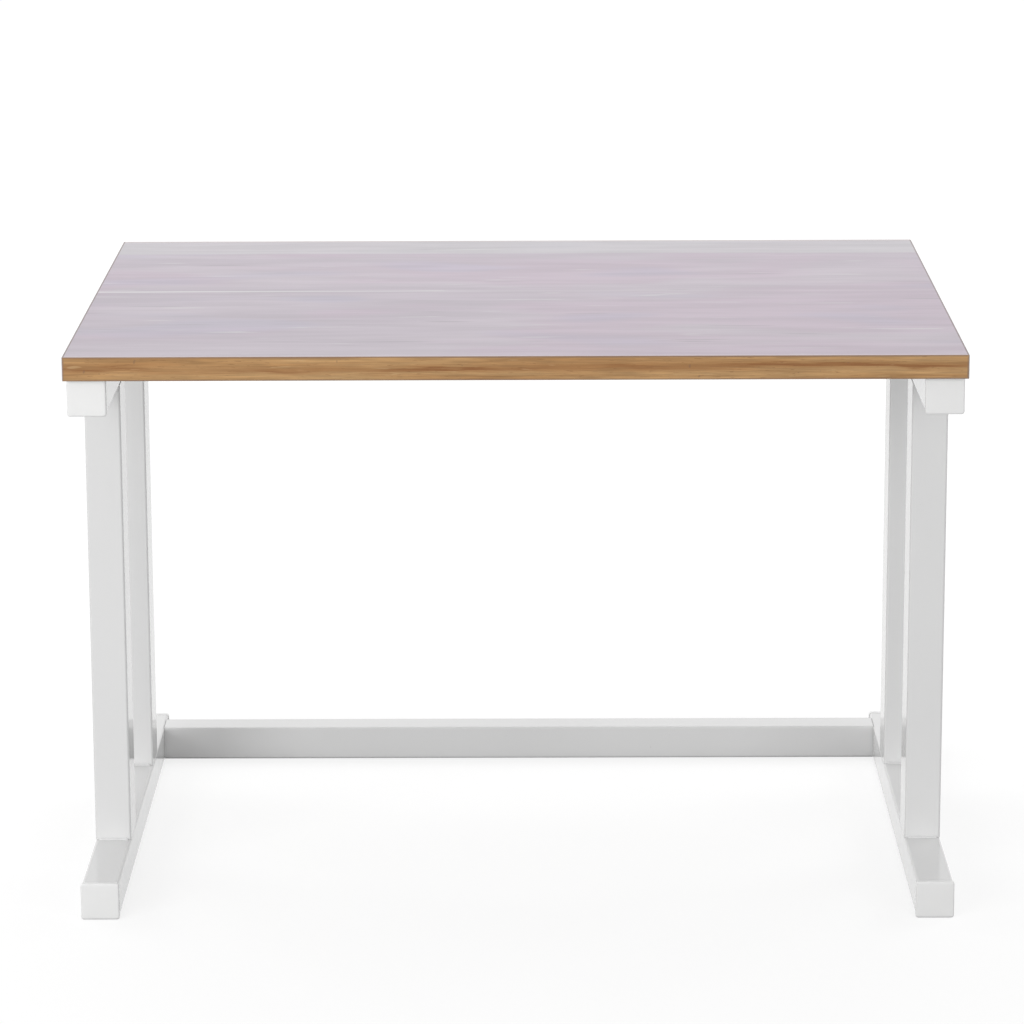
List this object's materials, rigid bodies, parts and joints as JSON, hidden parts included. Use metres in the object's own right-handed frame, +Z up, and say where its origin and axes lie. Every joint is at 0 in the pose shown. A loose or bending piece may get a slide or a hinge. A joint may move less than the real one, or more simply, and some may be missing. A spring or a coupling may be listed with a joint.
{
  "type": "countertop appliance stand",
  "caption": "Low open shelf stand for a countertop appliance: a laminated board with banded edges on two white steel side frames, tied by a low crossbar at the back.",
  "frame": {"origin": "on the floor under the centre of the board", "axes": "+X to the right seen from the front, along the board's long side; +Y towards the back, where the low crossbar is; +Z up"},
  "size_m": [0.6, 0.45, 0.393],
  "materials": {
    "top_laminate": "satin printed wood grain",
    "underside_laminate": "plain matt melamine paper",
    "particle_core": "raw particle board",
    "oak_band": "satin printed oak grain",
    "white_powder_coat": "semi-gloss powder coat",
    "cap_plastic": "satin moulded plastic",
    "zinc_steel": "zinc plated"
  },
  "bodies": {
    "root": {"board_core": "particle_core", "board_top_laminate": "top_laminate", "board_bottom_laminate": "underside_laminate", "edge_band_front": "oak_band", "edge_band_rear": "oak_band", "edge_band_left": "oak_band", "edge_band_right": "oak_band", "left_top_rail": "white_powder_coat", "left_foot_rail": "white_powder_coat", "left_front_upright": "white_powder_coat", "left_rear_upright": "white_powder_coat", "left_weld_beads": "white_powder_coat", "right_top_rail": "white_powder_coat", "right_foot_rail": "white_powder_coat", "right_front_upright": "white_powder_coat", "right_rear_upright": "white_powder_coat", "right_weld_beads": "white_powder_coat", "left_top_front_cap": "cap_plastic", "left_top_rear_cap": "cap_plastic", "left_foot_front_cap": "cap_plastic", "left_foot_rear_cap": "cap_plastic", "right_top_front_cap": "cap_plastic", "right_top_rear_cap": "cap_plastic", "right_foot_front_cap": "cap_plastic", "right_foot_rear_cap": "cap_plastic", "rear_crossbar": "white_powder_coat", "left_crossbar_end_plate": "zinc_steel", "right_crossbar_end_plate": "zinc_steel", "crossbar_bolts": "zinc_steel", "board_screws": "zinc_steel"}
  },
  "joints": []
}
